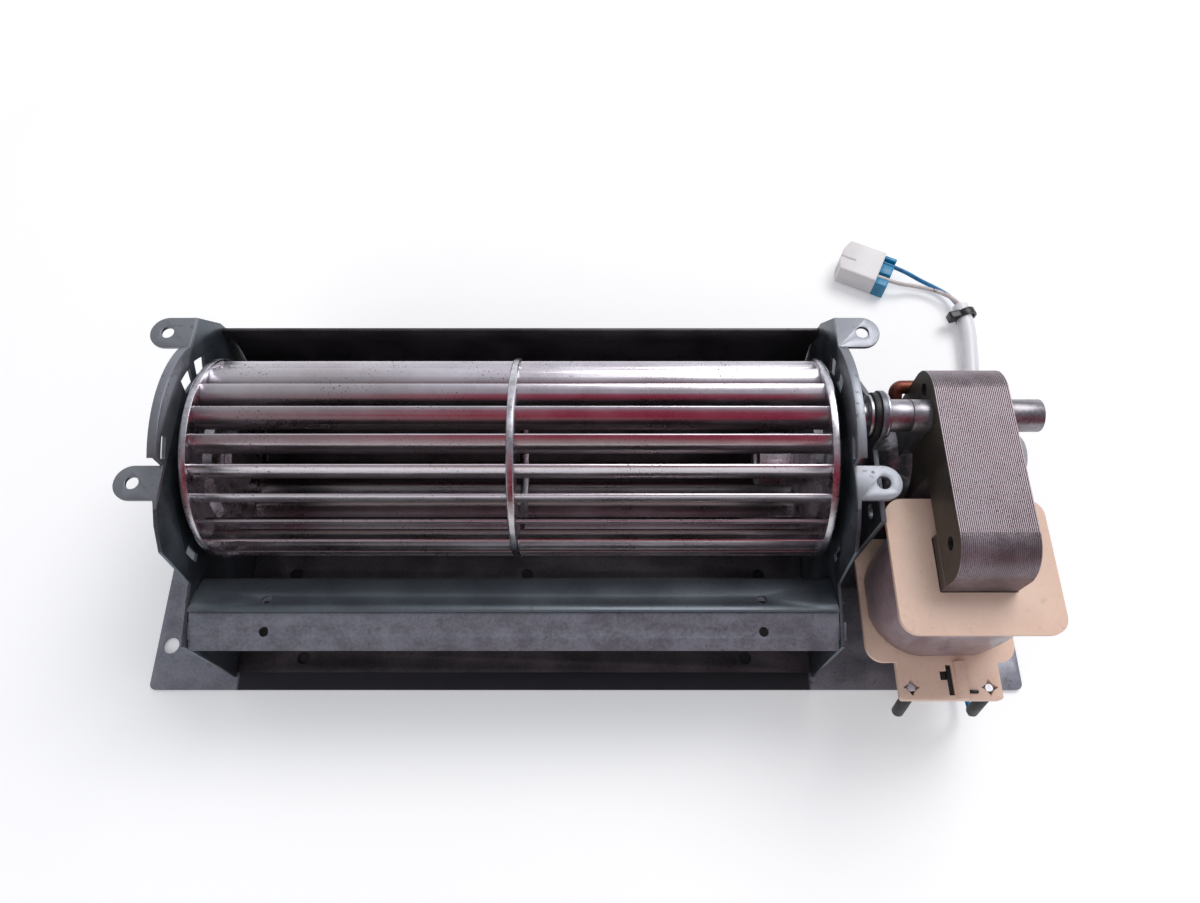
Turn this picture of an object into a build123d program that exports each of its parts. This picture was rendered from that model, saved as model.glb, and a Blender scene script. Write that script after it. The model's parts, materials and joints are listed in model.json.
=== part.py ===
from build123d import *
import math
import os

# Cross flow (tangential) cooling fan on a base plate, with a C-frame shaded-pole motor.
# X runs along the drum axis with the motor at +X, the outlet faces -Y and the inlet +Z.
# The origin lies under the middle of the drum, on the underside of the base plate.

# How far cutting shapes run past a face.
PAST = 1.0

# ---- drum
AXIS_H = 46.0
DRUM_R = 30.0
DISC_FACE = 88.85
DISC_T = 1.2
DISC_DISH_R = 19.0
DISC_DISH_DEPTH = 2.0
DISC_RIM_R = 28.7
DISC_RIM_PROUD = 0.9
BLADES = 22
BLADE_PHASE = 4.2
BLADE_OUT_R = 29.4
BLADE_IN_R = 24.0
BLADE_LAG = 9.7
BLADE_BOW = 1.0
BLADE_T = 0.5
TAB_IN_R = 25.6
TAB_OUT_R = 28.2
TAB_PROUD = 1.4
SLOT_CLEAR = 0.05
RING_T = 2.2
RING_IN_R = 22.4
RING_EDGE = 0.4

# ---- shafts and bearings
SHAFT_R = 3.0
RUNNING_CLEAR = 0.05
HUB_R = 8.0
HUB_LENGTH = 14.0
SET_SCREW_R = 2.0
SET_SCREW_SINK = 0.5
SET_SOCKET_R = 1.15
SET_SOCKET_DEPTH = 1.5
STUB_REACH = 6.5
STUB_FLANGE_R = 9.0
STUB_FLANGE_T = 2.0
BUSH_R = 5.5
BUSH_LENGTH = 7.0
RUBBER_R = 9.0
RUBBER_RIM = 2.5
RUBBER_RIM_T = 2.0
RUBBER_INNER_T = 1.0
BUSH_PROUD = 1.0

# ---- sheet-metal housing
SHEET = 1.0
CASING_T = 0.8
PLATE_IN = 92.5
SIDE_CLEAR = 0.2
TAB_CLEAR = 0.1
CHEEK_TAB_PROUD = 0.9
BASE_LEFT = -120.0
BASE_RIGHT = 160.0
BASE_FRONT = -61.0
BASE_BACK = 40.0
BASE_CORNER_R = 2.0
BASE_HOLE_R = 2.6
BASE_HOLE_INSET = 4.3
BASE_HOLE_Y = -46.8
OUTLET_Y = -57.0
EAR_RISE = 28.0
EAR_HOLE_X = 100.0
EAR_R = 5.0
EAR_HOLE_R = 1.8
EAR_FRONT_Y = -20.0
EAR_BACK_Y = 27.0
EAR_BEND = 0.96
RIM_R = 36.0
RIM_LIP = 1.5
# Air slots round the axis: from and to angle from +Z towards +Y, inner and outer radius.
AIR_SLOTS = [(20, 33, 26.0, 30.5), (39, 52, 26.5, 31.0), (-25, -14, 31.0, 33.2), (-93, -80, 30.0, 32.5)]
SCROLL_LIP_Y = 38.0
SCROLL_LIP_RISE = 12.5
SCROLL_R = 40.5
CASING_FRONT_Y = -55.6
FLOOR_HOLES = [(-71.5, -51.0), (71.5, -51.0), (-78.0, -23.0), (0.0, -23.0), (78.0, -23.0)]
FLOOR_HOLE_R = 2.0
LIP_HOLE_X = 71.0
LIP_HOLE_R = 1.4
LIP_HOLE_CUT = 8.0
LIP_HOLES_BACK = (-43.0, -3.6)
LIP_HOLES_FRONT = (-52.0, -5.0)
# Front edge of an end plate above the base plate and its back behind the ears: Y, and Z from the axis.
CHEEK_FRONT = [(-56.5, -4.5), (-39.0, -1.0), (-36.5, 19.0), (-31.0, 24.5)]
CHEEK_BACK = (39.5, 13.5)
CHEEK_BACK_R = 42.5
CHEEK_FOOT_Y = 16.0
CHEEK_HEEL_TURN = 38.0
CHEEK_BORE_R = 10.0

# ---- motor
STACK_X = 125.0
STACK_T = 20.4
STACK_FRONT = -46.5
STACK_BACK = 14.5
STACK_HALF_H = 35.0
STACK_CORNER_R = 10.0
LIMB_W = 15.0
YOKE_H = 15.0
POLE_FRONT = -15.0
BORE_R = 12.0
AIR_GAP = 0.4
ROTOR_EDGE = 0.8
POST_HALF = 28.0
POST_R = 4.5
SCREW_R = 2.0
SCREW_CLEAR = 0.1
STACK_HOLE_R = 1.8
STACK_HOLE_FRONT_Y = -37.0
STACK_HOLE_BACK_Y = 8.0
COPPER_R = 1.1
COPPER_CLEAR = 0.1
COPPER_REACH = 3.0
COPPER_BEND = 1.76
# Each shading ring passes the stack at two places, as (Y, Z from the axis).
SHADING_PAIRS = [((15.9, 15.5), (9.9, 10.9)), ((-16.3, -15.5), (-9.9, -10.9))]
BOSS_IN_T = 5.2
BOSS_OUT_T = 9.8
BAR_T = 3.0
BAR_W = 8.0
DOME_R = 10.5
DOME_FOOT_R = 13.0
DOME_SHOULDER = (9.5, 3.0)
DOME_TOP_R = 6.5
DOME_WALL = 1.5
SHAFT_HOLE_R = 3.5
DOME_IN_T = 9.0
DOME_OUT_T = 16.0
BRACKET_X = 100.5
BRACKET_T = 1.5
BRACKET_BORE_R = 13.0
GROMMET_R = 6.4
GROMMET_GROOVE_R = 4.8
GROMMET_X = 98.6
GROMMET_END_X = 103.0
WASHER_R = 5.8
WASHER_T = 1.0
HEAD_R = 3.6
HEAD_T = 2.6
HEAD_ROUND = 1.0
KEY_R = 1.7
KEY_DEPTH = 1.6
SCREW_SHORT = 2.0
FOOT_REACH = 16.0
RIVET_R = 1.6
RIVET_X = 110.9
RIVET_YS = (-14.0, 26.0)
RIVET_HEAD_R = 2.88
RIVET_HEAD_T = 1.0
# Motor bracket: top of the upright as Y and Z from the axis, width of its upper arm, and a spare hole.
BRACKET_TOP = [(-28.0, 20.0), (10.0, 21.6), (38.0, -1.3)]
BRACKET_ARM_W = 13.8
BRACKET_EYE_R = 6.9
BRACKET_HOLE = (-22.0, 12.0)
BRACKET_HOLE_R = 2.2

# ---- coil and terminals
FLANGE_X = 44.0
FLANGE_FRONT = -58.0
FLANGE_BACK = -20.0
FLANGE_T = 1.5
FLANGE_R = 5.0
FLANGE_RISE = 16.5
FLANGE_DROP = 18.5
TUBE_WALL = 1.2
TUBE_CLEAR = 0.2
WINDING_INSET = 1.4
WINDING_R = 12.0
BLOCK_LEFT = 111.5
BLOCK_RIGHT = 141.0
BLOCK_FRONT = -68.8
BLOCK_BACK = -50.0
BLOCK_T = 3.0
BLOCK_DROP = 1.5
BLOCK_ROUND = 1.0
RIB_X = 129.5
RIB_R = 2.0
RIB_SINK = 0.4
# Openings through the block: X from and to, Y from and to.
BLOCK_SLOTS = [((125.5, 127.2), (-67.6, -58.8)), ((123.6, 125.6), (-63.2, -60.6))]
PIN_X = (114.9, 137.5)
PIN_Y = -65.3
PIN_R = 1.1
PIN_LENGTH = 2.4
STAR_R = 2.5
STAR_BAY = 0.55
BOOT_R = 1.8
BOOT_SHIFT = 0.6
BOOT_END = (-69.6, 13.0)

# ---- cable
SLEEVE_R = 3.0
WIRE_R = 0.8
TIE_T = 0.9
TIE_W = 2.6
TIE_CLEAR = 0.15
TIE_HEAD = (4.4, 4.6)
TIE_HEAD_AT = (1.6, -5.15)
TIE_HEAD_ROUND = 0.8
SLEEVE_ROUTE = [
    (128.0, -34.0, 4.3), (127.0, -10.0, 4.2), (133.0, 16.0, 4.2), (146.0, 36.0, 4.7),
    (158.8, 51.0, 3.7), (165.2, 64.0, 3.3), (165.6, 75.0, 4.0), (163.2, 83.5, 4.0),
]
WHITE_ROUTE = [
    (162.7, 83.6, 4.95), (160.6, 87.6, 4.4), (154.6, 91.8, 3.0), (146.5, 93.8, 3.2),
    (139.8, 92.9, 5.6), (132.6, 96.05, 6.0),
]
BLUE_ROUTE = [
    (163.45, 83.75, 3.05), (161.4, 89.0, 2.4), (156.8, 93.6, 1.4), (149.6, 96.4, 3.2),
    (143.0, 99.1, 5.6), (135.6, 102.5, 6.0),
]
WHITE_LEAD_ROUTE = [
    (114.9, -69.63, 12.88), (114.95, -70.2, 8.6), (115.2, -68.4, 4.3), (116.2, -64.6, 2.5),
    (119.0, -57.5, 2.3), (123.0, -48.5, 2.6), (126.3, -40.5, 3.6), (127.1, -34.2, 4.3),
]
BLUE_LEAD_ROUTE = [
    (137.5, -69.63, 12.88), (137.45, -70.2, 8.6), (137.2, -68.4, 4.3), (136.4, -64.6, 2.5),
    (134.4, -57.5, 2.3), (131.6, -48.5, 2.6), (129.5, -40.5, 3.6), (128.9, -34.2, 4.3),
]
CONNECTOR_FACE = (133.6, 98.5)
CONNECTOR_TURN = 155.0
CONNECTOR_L = 16.0
CONNECTOR_W = 15.0
CONNECTOR_H = 9.0
CONNECTOR_ROUND = 1.0
NOSE_L = 5.0
NOSE_IN = 1.6
SOCKET_DEPTH = 11.0
SOCKET_W = 9.0
SOCKET_H = 5.4
SOCKET_WEB = 1.2
# Latch slot in the top: middle along and across the plug, then length, width and depth.
LATCH_AT = (13.0, 1.5)
LATCH_SLOT = (6.1, 0.8, 0.6)
INSERT_L = 4.7
INSERT_W = 14.4
INSERT_H = 7.4
CHANNEL_HALF = 1.3
WIRE_ENTRY = (-2.7, 4.5)
WIRE_ENTRY_Z = 6.0

EAR_Z = AXIS_H + EAR_RISE
SCROLL_LIP_Z = AXIS_H + SCROLL_LIP_RISE
FLANGE_TOP = AXIS_H + FLANGE_RISE
FLANGE_LOW = AXIS_H - FLANGE_DROP
AXIS = Axis((0, 0, AXIS_H), (1, 0, 0))
PLATE_OUT = PLATE_IN + SHEET
STACK_LEFT = STACK_X - STACK_T / 2
STACK_RIGHT = STACK_X + STACK_T / 2
DISC_INNER = DISC_FACE - DISC_T
FLOOR_Z = SHEET + CASING_T / 2
LIMB_BACK = STACK_FRONT + LIMB_W
LIMB_HALF = STACK_HALF_H - YOKE_H


def at_x(x):
    """Plane across the axis at x, whose local x is Y and local y is Z."""
    return Plane((x, 0, 0), x_dir=(0, 1, 0), z_dir=(1, 0, 0))


def across(sketch, x_from, x_to):
    """Extrude a (Y, Z) sketch from one X to another."""
    return extrude(at_x(x_from) * sketch, x_to - x_from)


def rod(x_from, x_to, radius, y=0.0, z=AXIS_H):
    return across(Pos(y, z) * Circle(radius), x_from, x_to)


def tube(x_from, x_to, radius, bore, y=0.0, z=AXIS_H):
    return across(Pos(y, z) * (Circle(radius) - Circle(bore)), x_from, x_to)


def box(x, y, z):
    """Box from three (low, high) pairs."""
    size = [high - low for low, high in (x, y, z)]
    middle = [(high + low) / 2 for low, high in (x, y, z)]
    return Pos(*middle) * Box(*size)


def from_axis(points):
    """Points given as Y and Z from the axis, as (Y, Z)."""
    return [(y, AXIS_H + z) for y, z in points]


def polar(radius, angle):
    """(Y, Z) about the drum axis, with the angle from +Z towards +Y, in degrees."""
    turn = math.radians(angle)
    return (radius * math.sin(turn), AXIS_H + radius * math.cos(turn))


# ---- drum pieces

def blade_section(angle, clear=0.0, r_in=BLADE_IN_R, r_out=BLADE_OUT_R):
    """Forward-curved blade: an arc strip from the inner to the outer radius."""
    inner = Vector(*polar(BLADE_IN_R, angle - BLADE_LAG))
    outer = Vector(*polar(BLADE_OUT_R, angle))
    along = (outer - inner).normalized()
    side = Vector(along.Y, -along.X)
    near = -side * clear
    far = side * (BLADE_T + clear)
    middle = (inner + outer) * 0.5 - side * BLADE_BOW
    inner = inner - along * clear
    outer = outer + along * clear
    strip = make_face([
        ThreePointArc(inner + near, middle + near, outer + near),
        Line(outer + near, outer + far),
        ThreePointArc(outer + far, middle + far, inner + far),
        Line(inner + far, inner + near),
    ])
    if r_in > BLADE_IN_R:
        strip &= Pos(0, AXIS_H) * (Circle(r_out + clear) - Circle(r_in - clear))
    return strip


def tab_section(angle, clear=0.0):
    return blade_section(angle, clear, TAB_IN_R, TAB_OUT_R)


def blade_angles():
    return [BLADE_PHASE + 360.0 * i / BLADES for i in range(BLADES)]


def make_blades():
    solids = []
    tab_end = DISC_FACE + TAB_PROUD
    for angle in blade_angles():
        blade = across(blade_section(angle), -DISC_INNER, DISC_INNER)
        blade += across(tab_section(angle), -tab_end, tab_end)
        solids.append(blade.solid())
    return Compound(solids)


def make_disc(side, bore):
    """End disc with a dished middle, a raised rim and a slot for each blade tab."""
    rim_top = DISC_FACE + DISC_RIM_PROUD
    dish = Polyline(
        (bore, DISC_FACE - DISC_DISH_DEPTH), (DISC_DISH_R - DISC_DISH_DEPTH, DISC_FACE - DISC_DISH_DEPTH),
        (DISC_DISH_R, DISC_FACE), (DISC_RIM_R, DISC_FACE), (DISC_RIM_R, rim_top),
        (DRUM_R - RING_EDGE, rim_top), (DRUM_R, rim_top - RING_EDGE), (DRUM_R, DISC_INNER),
        (DISC_DISH_R + 0.5, DISC_INNER), (DISC_DISH_R - DISC_DISH_DEPTH + 0.5, DISC_INNER - DISC_DISH_DEPTH),
        (bore, DISC_INNER - DISC_DISH_DEPTH), close=True)
    plane = Plane((0, 0, AXIS_H), x_dir=(0, 0, 1), z_dir=(0, side, 0))
    disc = revolve(plane * make_face(dish), AXIS)
    slots = [across(tab_section(a, SLOT_CLEAR), side * (DISC_INNER - 1), side * (DISC_FACE + 1))
             for a in blade_angles()]
    return disc - slots


def make_middle_ring():
    half = RING_T / 2
    band = Polyline(
        (RING_IN_R, -half), (DRUM_R - RING_EDGE, -half), (DRUM_R, RING_EDGE - half),
        (DRUM_R, half - RING_EDGE), (DRUM_R - RING_EDGE, half), (RING_IN_R, half), close=True)
    plane = Plane((0, 0, AXIS_H), x_dir=(0, 0, 1), z_dir=(0, 1, 0))
    ring = revolve(plane * make_face(band), AXIS)
    return ring - [across(blade_section(a, SLOT_CLEAR), -RING_T, RING_T) for a in blade_angles()]


HUB_OUT = DISC_INNER - DISC_DISH_DEPTH
HUB_IN = HUB_OUT - HUB_LENGTH
SHAFT_IN = HUB_IN + 2.0
DOME_END = STACK_RIGHT + DOME_OUT_T
SHAFT_END = DOME_END - 3.0


def make_drive_hub():
    """Hub fixed to the inside of the motor-side disc, with a radial set screw hole."""
    hub = tube(HUB_IN, HUB_OUT, HUB_R, SHAFT_R)
    hole = Pos((HUB_IN + HUB_OUT) / 2, 0, AXIS_H + HUB_R / 2) * Cylinder(SET_SCREW_R, HUB_R + PAST)
    return hub - hole


def make_set_screw():
    low, high = AXIS_H + SHAFT_R, AXIS_H + HUB_R - SET_SCREW_SINK
    screw = Pos((HUB_IN + HUB_OUT) / 2, 0, (low + high) / 2) * Cylinder(SET_SCREW_R, high - low)
    socket = Pos((HUB_IN + HUB_OUT) / 2, 0, high - SET_SOCKET_DEPTH)
    socket *= extrude(RegularPolygon(SET_SOCKET_R, 6), SET_SOCKET_DEPTH)
    return screw - socket


def make_stub_shaft():
    """Left stub shaft with the flange that is riveted to the disc."""
    stub = rod(-PLATE_OUT - STUB_REACH, -HUB_OUT + STUB_FLANGE_T, SHAFT_R)
    return stub + rod(-HUB_OUT, -HUB_OUT + STUB_FLANGE_T, STUB_FLANGE_R)


# ---- sheet-metal housing

def mitred(points, shift):
    """An open path moved sideways by shift, to its left, with mitred corners."""
    points = [Vector(*p) for p in points]
    runs = [(b - a).normalized() for a, b in zip(points, points[1:])]
    sides = [Vector(-run.Y, run.X) for run in runs]
    moved = [points[0] + sides[0] * shift]
    for point, before, after in zip(points[1:], sides, sides[1:]):
        middle = (before + after).normalized()
        moved.append(point + middle * (shift / middle.dot(before)))
    return moved + [points[-1] + sides[-1] * shift]


def turns_left(points):
    """For each inner corner of a path: 1 where it turns left, -1 where it turns right."""
    points = [Vector(*p) for p in points]
    return [math.copysign(1, (b - a).cross(c - b).Z) for a, b, c in zip(points, points[1:], points[2:])]


def strip(points, bend, thickness, clear=0.0):
    """Bent-sheet section in (Y, Z): concentric bends of one radius along a centre path."""
    half = thickness / 2 + clear
    turns = turns_left(points)
    left = FilletPolyline(mitred(points, half), radius=[bend - turn * half for turn in turns])
    right = FilletPolyline(mitred(points, -half), radius=[bend + turn * half for turn in turns])
    return make_face([*left.edges(), *right.edges(),
                      Line(left @ 0, right @ 0), Line(left @ 1, right @ 1)])


QUARTER = 90.0


def scroll_side(shift):
    """One face of the scroll sheet: inlet lip, curved back and flat floor."""
    lip = mitred([(SCROLL_LIP_Y, SCROLL_LIP_Z), (SCROLL_R, AXIS_H)], shift)
    back = EllipticalCenterArc((0, AXIS_H), SCROLL_R + shift, AXIS_H - FLOOR_Z + shift, 0, arc_size=-QUARTER)
    return [Line(lip[0], back @ 0), back.edge(), Line(back @ 1, (CASING_FRONT_Y, FLOOR_Z - shift))]


def scroll_section(clear=0.0):
    half = CASING_T / 2 + clear
    outer, inner = scroll_side(half), scroll_side(-half)
    return make_face([*outer, *inner, Line(outer[0] @ 0, inner[0] @ 0), Line(outer[2] @ 1, inner[2] @ 1)])


# Bent sheets along the outlet: Y, and Z from the axis.
TONGUE_PATH = [(-46.9, -1.6), (-35.8, -7.6), (-35.4, -10.6)]
TONGUE_BEND = 1.2
ROOF_PATH = [(-56.9, -7.0), (-46.9, -3.0), (-37.6, -8.1), (-38.8, -19.0)]
ROOF_BEND = 1.5


def tongue_section(clear=0.0):
    return strip(from_axis(TONGUE_PATH), TONGUE_BEND, CASING_T, clear)


def roof_section(clear=0.0):
    return strip(from_axis(ROOF_PATH), ROOF_BEND, CASING_T, clear)


# Where each sheet's side tabs stand: Y, and Z from the axis, and the size of the window that cuts them.
BACK_TABS = [((39.4, 6.5), (6, 5)), ((33.5, -26.0), (7, 7))]
FLOOR_TAB_YS = (-12.0, -44.0)
FLOOR_TAB = (8, 3)
TONGUE_TAB = [((-42.0, -4.2), (4.5, 4.5))]
ROOF_TAB = [((-51.9, -5.0), (4.5, 3.5)), ((-38.3, -15.0), (3, 4.5))]


def windows_from_axis(windows):
    return [((y, AXIS_H + z), size) for (y, z), size in windows]


SCROLL_TABS = windows_from_axis(BACK_TABS) + [((y, FLOOR_Z), FLOOR_TAB) for y in FLOOR_TAB_YS]
TONGUE_TABS = windows_from_axis(TONGUE_TAB)
ROOF_TABS = windows_from_axis(ROOF_TAB)


def tab_sections(section, tabs, grow=0.0):
    """The parts of a sheet section that run on through the end plates."""
    return [section & Pos(*at) * Rectangle(size[0] + 2 * grow, size[1] + 2 * grow) for at, size in tabs]


def tabbed_sheet(section, tabs):
    """A sheet between the end plates, with tabs through them."""
    edge = PLATE_IN - SIDE_CLEAR
    tab_end = PLATE_OUT + CHEEK_TAB_PROUD
    sheet = across(section, -edge, edge)
    for tab in tab_sections(section, tabs):
        sheet += across(tab, -tab_end, tab_end)
    return sheet


def tab_slots(x_from, x_to):
    """Slots for the tabs of every sheet."""
    cuts = []
    for section, tabs in ((scroll_section(TAB_CLEAR), SCROLL_TABS), (tongue_section(TAB_CLEAR), TONGUE_TABS),
                          (roof_section(TAB_CLEAR), ROOF_TABS)):
        cuts += [across(tab, x_from, x_to) for tab in tab_sections(section, tabs, TAB_CLEAR)]
    return cuts


def make_scroll_casing():
    casing = tabbed_sheet(scroll_section(), SCROLL_TABS)
    return casing - [Pos(x, y, FLOOR_Z) * Cylinder(FLOOR_HOLE_R, 4 * CASING_T) for x, y in FLOOR_HOLES]


def lip_holes(y, z):
    """Pair of holes through a lip at y, and z from the axis."""
    return [Pos(x, y, AXIS_H + z) * Cylinder(LIP_HOLE_R, LIP_HOLE_CUT) for x in (-LIP_HOLE_X, LIP_HOLE_X)]


def make_tongue_plate():
    return tabbed_sheet(tongue_section(), TONGUE_TABS) - lip_holes(*LIP_HOLES_BACK)


def make_duct_roof():
    roof = tabbed_sheet(roof_section(), ROOF_TABS)
    return roof - lip_holes(*LIP_HOLES_BACK) - lip_holes(*LIP_HOLES_FRONT)


def rim_span():
    """Angles from +Z towards +Y between which the inlet rim runs, from ear to ear."""
    return [math.degrees(math.asin(y / RIM_R)) for y in (EAR_FRONT_Y + EAR_R, EAR_BACK_Y - EAR_R)]


def cheek_outline():
    """Outline of an end plate, from the front foot over the inlet rim to the back foot."""
    rim_front, rim_back = [polar(RIM_R, angle) for angle in rim_span()]
    foot = (CHEEK_FOOT_Y, SHEET)
    heel_turn = math.radians(CHEEK_HEEL_TURN)
    back_mid = (CHEEK_BACK_R * math.cos(heel_turn), AXIS_H - (AXIS_H - SHEET) * math.sin(heel_turn))
    front = Polyline(foot, (OUTLET_Y, SHEET), *from_axis(CHEEK_FRONT),
                     (EAR_FRONT_Y - EAR_R, EAR_Z), (EAR_FRONT_Y + EAR_R, EAR_Z), rim_front)
    rim = ThreePointArc(rim_front, polar(RIM_R, 0), rim_back)
    back = Polyline(rim_back, (EAR_BACK_Y - EAR_R, EAR_Z), (EAR_BACK_Y + EAR_R, EAR_Z),
                    *from_axis([CHEEK_BACK]), (CHEEK_BACK_R, AXIS_H))
    heel = ThreePointArc((CHEEK_BACK_R, AXIS_H), back_mid, foot)
    return make_face([*front.edges(), rim, *back.edges(), heel])


def ring_sector(start, end, r_in, r_out):
    """Ring-shaped area about the drum axis between two angles."""
    middle = (start + end) / 2
    return make_face([
        ThreePointArc(polar(r_out, start), polar(r_out, middle), polar(r_out, end)),
        Line(polar(r_out, end), polar(r_in, end)),
        ThreePointArc(polar(r_in, end), polar(r_in, middle), polar(r_in, start)),
        Line(polar(r_in, start), polar(r_out, start)),
    ])


def make_cheek(side, bore):
    """End plate with air slots, rolled inlet rim, tab slots and two turned-out ears."""
    inner, outer = side * PLATE_IN, side * PLATE_OUT
    cheek = across(cheek_outline(), inner, outer)
    cheek -= rod(inner - side * PAST, outer + side * PAST, bore)
    cheek -= [across(ring_sector(*slot), inner - side * PAST, outer + side * PAST) for slot in AIR_SLOTS]
    cheek -= tab_slots(side * (PLATE_IN - PAST), side * (PLATE_OUT + PAST))
    cheek += across(ring_sector(*rim_span(), RIM_R - SHEET, RIM_R), outer, outer + side * RIM_LIP)
    for y in (EAR_FRONT_Y, EAR_BACK_Y):
        cheek += make_ear(side, y)
    return cheek


def make_ear(side, y):
    """Ear bent outwards at the top of an end plate, with a round end and a hole."""
    start, end = sorted((side * PLATE_IN, side * EAR_HOLE_X))
    ear = box((start, end), (y - EAR_R, y + EAR_R), (EAR_Z - SHEET, EAR_Z))
    ear += Pos(side * EAR_HOLE_X, y, EAR_Z - SHEET / 2) * Cylinder(EAR_R, SHEET)
    corner = ear.edges().filter_by(Axis.Y).sort_by(Axis.Z)[-2:].sort_by(lambda e: abs(e.center().X))[:1]
    ear = fillet(corner, EAR_BEND)
    return ear - Pos(side * EAR_HOLE_X, y, EAR_Z) * Cylinder(EAR_HOLE_R, 4 * SHEET)


BASE_HOLES = [(BASE_LEFT + BASE_HOLE_INSET, BASE_HOLE_Y), (BASE_RIGHT - BASE_HOLE_INSET, BASE_HOLE_Y)]


def make_base_plate():
    plate = box((BASE_LEFT, BASE_RIGHT), (BASE_FRONT, BASE_BACK), (0, SHEET))
    plate = fillet(plate.edges().filter_by(Axis.Z), BASE_CORNER_R)
    holes = [Pos(x, y, 0) * Cylinder(BASE_HOLE_R, 4 * SHEET) for x, y in BASE_HOLES]
    holes += [Pos(RIVET_X, y, 0) * Cylinder(RIVET_R, 4 * SHEET) for y in RIVET_YS]
    return plate - holes


# ---- motor

def make_motor_bracket():
    """Upright plate that carries the motor, with a foot turned along the base plate."""
    top = POST_HALF + AXIS_H
    front, back = BRACKET_TOP[0][0], BRACKET_TOP[-1][0]
    upright = make_face(Polyline((front, SHEET), *from_axis(BRACKET_TOP), (back, SHEET), close=True))
    upright += Pos(0, (top + AXIS_H) / 2) * Rectangle(BRACKET_ARM_W, top - AXIS_H)
    upright += Pos(0, top) * Circle(BRACKET_EYE_R)
    upright -= Pos(0, AXIS_H) * Circle(BRACKET_BORE_R)
    upright -= [Pos(0, AXIS_H + s * POST_HALF) * Circle(GROMMET_GROOVE_R) for s in (-1, 1)]
    upright -= Pos(*from_axis([BRACKET_HOLE])[0]) * Circle(BRACKET_HOLE_R)
    bracket = across(upright, BRACKET_X, BRACKET_X + BRACKET_T)
    foot = box((BRACKET_X, BRACKET_X + FOOT_REACH), (front, back), (SHEET, SHEET + BRACKET_T))
    foot -= [Pos(RIVET_X, y, 0) * Cylinder(RIVET_R, 2 * (SHEET + BRACKET_T + PAST)) for y in RIVET_YS]
    return bracket + foot


def make_foot_rivets():
    """Rivets through the bracket foot, flush with the underside of the base plate."""
    head_z = SHEET + BRACKET_T
    return Compound([
        (Pos(RIVET_X, y, head_z / 2) * Cylinder(RIVET_R, head_z)
         + Pos(RIVET_X, y, head_z + RIVET_HEAD_T / 2) * Cylinder(RIVET_HEAD_R, RIVET_HEAD_T)).solid()
        for y in RIVET_YS])


def posts(make):
    """One copy of a post piece on each side of the axis."""
    return Compound([make(AXIS_H + s * POST_HALF).solid() for s in (-1, 1)])


def make_grommet(z):
    """Rubber grommet, grooved to hold the bracket."""
    grommet = tube(GROMMET_X, GROMMET_END_X, GROMMET_R, SCREW_R + SCREW_CLEAR, 0, z)
    return grommet - tube(BRACKET_X, BRACKET_X + BRACKET_T, GROMMET_R + PAST, GROMMET_GROOVE_R, 0, z)


def make_washer(z):
    return tube(GROMMET_X - WASHER_T, GROMMET_X, WASHER_R, SCREW_R + SCREW_CLEAR, 0, z)


def make_spacer(z):
    return tube(GROMMET_END_X, STACK_LEFT - BOSS_IN_T, POST_R, SCREW_R + SCREW_CLEAR, 0, z)


SCREW_END = STACK_RIGHT + BOSS_OUT_T - SCREW_SHORT


def make_screw(z):
    """Motor screw with a recessed round head outside the washer."""
    face = GROMMET_X - WASHER_T
    screw = rod(face, SCREW_END, SCREW_R, 0, z) + rod(face - HEAD_T, face, HEAD_R, 0, z)
    head_edge = screw.edges().filter_by(GeomType.CIRCLE).sort_by(Axis.X)[:1]
    screw = fillet(head_edge, HEAD_ROUND)
    return screw - across(Pos(0, z) * RegularPolygon(KEY_R, 6), face - HEAD_T, face - HEAD_T + KEY_DEPTH)


def make_stack():
    """C-shaped lamination stack with the rotor bore and the window for the coil."""
    middle = (STACK_FRONT + STACK_BACK) / 2
    outline = Pos(middle, AXIS_H) * RectangleRounded(
        STACK_BACK - STACK_FRONT, 2 * STACK_HALF_H, STACK_CORNER_R)
    window = Pos((STACK_FRONT - PAST + POLE_FRONT) / 2, AXIS_H) * Rectangle(
        POLE_FRONT - STACK_FRONT + PAST, 2 * LIMB_HALF)
    outline = outline - window - Pos(0, AXIS_H) * Circle(BORE_R)
    outline -= [Pos(y, AXIS_H + z) * Circle(COPPER_R + COPPER_CLEAR)
                for pair in SHADING_PAIRS for y, z in pair]
    outline -= [Pos(0, AXIS_H + s * POST_HALF) * Circle(SCREW_R + SCREW_CLEAR) for s in (-1, 1)]
    outline -= [Pos(y, AXIS_H + s * POST_HALF) * Circle(STACK_HOLE_R)
                for y in (STACK_HOLE_FRONT_Y, STACK_HOLE_BACK_Y) for s in (-1, 1)]
    return across(outline, STACK_LEFT, STACK_RIGHT)


def make_limb():
    """Separate leg of the core that carries the coil, closing the front of the C."""
    return box((STACK_LEFT, STACK_RIGHT), (STACK_FRONT, LIMB_BACK),
               (AXIS_H - LIMB_HALF, AXIS_H + LIMB_HALF))


def make_shading_ring(pair):
    """Closed copper loop through the pole tip."""
    (y0, z0), (y1, z1) = pair
    start, end = Vector(0, y0, AXIS_H + z0), Vector(0, y1, AXIS_H + z1)
    left, right = STACK_LEFT - COPPER_REACH, STACK_RIGHT + COPPER_REACH
    corners = [Vector(left, start.Y, start.Z), Vector(right, start.Y, start.Z),
               Vector(right, end.Y, end.Z), Vector(left, end.Y, end.Z)]
    loop = FilletPolyline(*corners, radius=COPPER_BEND, close=True)
    path = Wire(loop.edges())
    return sweep(Plane(origin=path @ 0, z_dir=path % 0) * Circle(COPPER_R), path=path).solid()


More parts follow.
